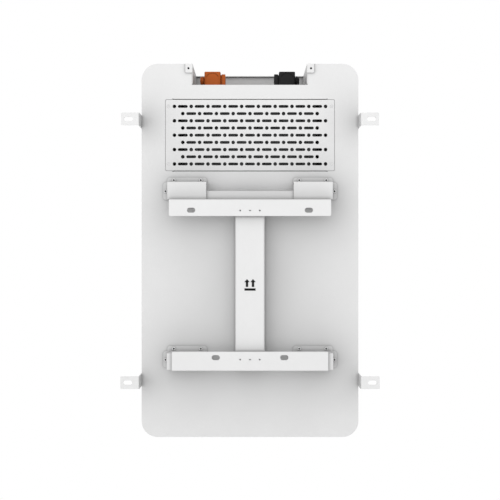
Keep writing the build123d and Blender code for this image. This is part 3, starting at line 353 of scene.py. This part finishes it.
def cell_film(name, colour):
    """Blue film shrunk over an aluminium can, slightly wrinkled."""
    paint = Paint(name, colour, 0.28)
    tint = paint.remap(paint.noise(30 * MM, 3.0), NOISE_SPAN, FULL_SPAN)
    paint.vary_colour(tint, scaled(colour, 0.85), colour)
    wrinkles = paint.noise(7 * MM, 3.0, 0.6, paint.stretched((0.3, 1.0, 1.0)))
    paint.vary_roughness(wrinkles, 0.2, 0.38)
    paint.bump(wrinkles, 0.12 * MM, 0.4)
    paint.shader.inputs["Coat Weight"].default_value = 0.3
    return paint.material


def frosted_lens(name, colour):
    """Frosted light-pipe plastic with a faint prism pattern."""
    paint = Paint(name, colour, 0.3)
    paint.shader.inputs["Transmission Weight"].default_value = 0.35
    paint.shader.inputs["IOR"].default_value = 1.49
    ribs = paint.add("ShaderNodeTexWave", wave_type="BANDS", bands_direction="X")
    ribs.inputs["Scale"].default_value = 160.0
    paint.link(paint.position, ribs.inputs["Vector"])
    paint.vary_colour(ribs.outputs["Fac"], scaled(colour, 0.9), colour)
    paint.vary_roughness(paint.noise(1 * MM, 3.0), 0.24, 0.4)
    paint.bump(ribs.outputs["Fac"], 0.05 * MM, 0.4)
    return paint.material


def ceramic(name, colour):
    """Glazed ceramic with fine speckles."""
    paint = Paint(name, colour, 0.2)
    specks = paint.remap(paint.noise(0.9 * MM, 2.0), (0.66, 0.74), FULL_SPAN)
    paint.vary_colour(specks, colour, (0.32, 0.27, 0.2))
    paint.vary_roughness(paint.noise(5 * MM, 3.0), 0.14, 0.3)
    paint.bump(paint.noise(4 * MM, 2.0), 0.04 * MM, 0.4)
    return paint.material


FINISHES = {
    "white_powder_coat": (powder_coat, (0.80, 0.80, 0.80)),
    "zinc_screw": (plated_steel, (0.62, 0.63, 0.64)),
    "white_screw": (socket_screw, (0.77, 0.77, 0.77)),
    "galvanised_sheet": (galvanised, (0.55, 0.57, 0.59)),
    "black_print": (printed_ink, (0.004, 0.004, 0.004)),
    "orange_nylon": (moulded_nylon, (0.45, 0.101, 0.0165), 0.45),
    "black_nylon": (moulded_nylon, (0.0135, 0.0135, 0.014), 0.48),
    "plated_copper": (contact_metal, (0.82, 0.78, 0.7)),
    "nickel_strip": (contact_metal, (0.66, 0.64, 0.6)),
    "aluminium": (extruded_aluminium, (0.17, 0.173, 0.176), 0.45, (1.0, 1.0, 0.04)),
    "cell_wrap": (cell_film, (0.02, 0.09, 0.36)),
    "foam_rubber": (rubber, (0.03, 0.03, 0.03), 0.8),
    "circuit_board": (circuit_board, (0.008, 0.09, 0.035)),
    "frosted_lens": (frosted_lens, (0.75, 0.79, 0.8)),
    "button_plastic": (moulded_nylon, (0.55, 0.56, 0.57), 0.3),
    "fuse_ceramic": (ceramic, (0.72, 0.7, 0.62)),
    "orange_cable": (rubber, (0.6, 0.15, 0.03), 0.5),
    "black_cable": (rubber, (0.02, 0.02, 0.02), 0.5),
}
MATERIALS = {slot: finish(slot, *values) for slot, (finish, *values) in FINISHES.items()}
SHEET_METAL = ("white_powder_coat", "galvanised_sheet")
METAL_TRIM = ("zinc_screw", "white_screw", "plated_copper", "nickel_strip")
UNROUNDED = ("black_print", "foam_rubber", "orange_cable", "black_cable")


def edge_width(slot):
    """How far the edges of a piece of this material are rounded."""
    if slot in SHEET_METAL:
        return SHEET_EDGE
    if slot in METAL_TRIM:
        return SCREW_EDGE
    return MOULDED_EDGE


def round_edges(piece, width):
    """Rounds the sharp edges of a CAD solid, which comes as loose triangles."""
    weld = piece.modifiers.new("weld", "WELD")
    weld.merge_threshold = SAME_POINT
    flat = piece.modifiers.new("flat", "DECIMATE")
    flat.decimate_type = "DISSOLVE"
    flat.angle_limit = SAME_PLANE
    bevel = piece.modifiers.new("bevel", "BEVEL")
    bevel.width = width
    bevel.segments = 2
    bevel.limit_method = "ANGLE"
    bevel.angle_limit = SHARP_ANGLE
    bevel.use_clamp_overlap = True
    bevel.miter_outer = "MITER_ARC"
    shade = piece.modifiers.new("shade", "WEIGHTED_NORMAL")
    shade.keep_sharp = False
    shade.weight = LARGE_FACE_WEIGHT


def finish_cad_nodes():
    """Gives every CAD node its material, and rounds the edges of those whose finish is not in UNROUNDED."""
    for part in frame["record"]["subparts"]:
        piece = nodes[part["node"]]
        slot = part["material_slot"]
        piece.material_slots[0].material = MATERIALS[slot]
        if slot not in UNROUNDED:
            round_edges(piece, edge_width(slot))


# --- set -----------------------------------------------------------------------------------------------


def add_camera():
    """Camera square to the wall side, as far off as the photographer's."""
    to_case = CAMERA_DISTANCE - CASE_BACK_Y
    data = bpy.data.cameras.new("camera")
    data.sensor_width = SENSOR
    data.lens = SENSOR * to_case / VIEW_WIDTH_AT_CASE
    camera = bpy.data.objects.new("camera", data)
    camera.location = (0.0, CAMERA_DISTANCE, CAMERA_HEIGHT)
    camera.rotation_euler = (radians(90), 0.0, radians(180))
    bpy.context.scene.collection.objects.link(camera)
    bpy.context.scene.camera = camera


def add_world(ramp, sideways, backdrop):
    """Soft light that changes with its direction's Y and leans towards +X, and an even backdrop."""
    world = bpy.data.worlds.new("studio")
    world.use_nodes = True
    tree = world.node_tree
    position = tree.nodes.new("ShaderNodeTexCoord").outputs["Generated"]
    split = tree.nodes.new("ShaderNodeSeparateXYZ")
    tree.links.new(position, split.inputs["Vector"])
    fade = tree.nodes.new("ShaderNodeMapRange")
    fade.inputs["From Min"].default_value = -1.0
    tree.links.new(split.outputs["Y"], fade.inputs["Value"])
    strength = tree.nodes.new("ShaderNodeValToRGB")
    strongest = max(value for _, value in ramp)
    set_ramp(strength, [((direction + 1) / 2, value / strongest) for direction, value in ramp])
    tree.links.new(fade.outputs["Result"], strength.inputs["Fac"])
    light = tree.nodes["Background"]
    lean = tree.nodes.new("ShaderNodeMapRange")
    lean.inputs["From Min"].default_value = -1.0
    lean.inputs["To Min"].default_value = strongest * (1 - sideways)
    lean.inputs["To Max"].default_value = strongest * (1 + sideways)
    tree.links.new(split.outputs["X"], lean.inputs["Value"])
    tree.links.new(lean.outputs["Result"], light.inputs["Strength"])
    tree.links.new(strength.outputs["Color"], light.inputs["Color"])
    plain = tree.nodes.new("ShaderNodeBackground")
    plain.inputs["Color"].default_value = (backdrop, backdrop, backdrop, 1.0)
    seen = tree.nodes.new("ShaderNodeLightPath").outputs["Is Camera Ray"]
    either = tree.nodes.new("ShaderNodeMixShader")
    tree.links.new(seen, either.inputs["Fac"])
    for place, shader in zip(MIX_SHADERS, (light, plain)):
        tree.links.new(shader.outputs["Background"], either.inputs[place])
    tree.links.new(either.outputs["Shader"], tree.nodes["World Output"].inputs["Surface"])
    bpy.context.scene.world = world


def add_floor():
    """Pale floor under the wall-hung unit."""
    low, _ = cad_box
    bpy.ops.mesh.primitive_plane_add(size=FLOOR_SIZE, location=(0, 0, low[2] - FLOOR_DROP))
    floor = bpy.context.object
    floor.name = "floor"
    paint = Paint("floor_paint", FLOOR_LIGHT, 0.7)
    speckle = paint.remap(paint.noise(0.25, 3.0), NOISE_SPAN, FULL_SPAN)
    paint.vary_colour(speckle, FLOOR_DARK, FLOOR_LIGHT)
    floor.data.materials.append(paint.material)


bpy.context.scene.view_settings.view_transform = "Standard"
add_world(LIGHT_RAMP, LIGHT_LEAN, BACKDROP)
add_camera()
add_floor()
finish_cad_nodes()
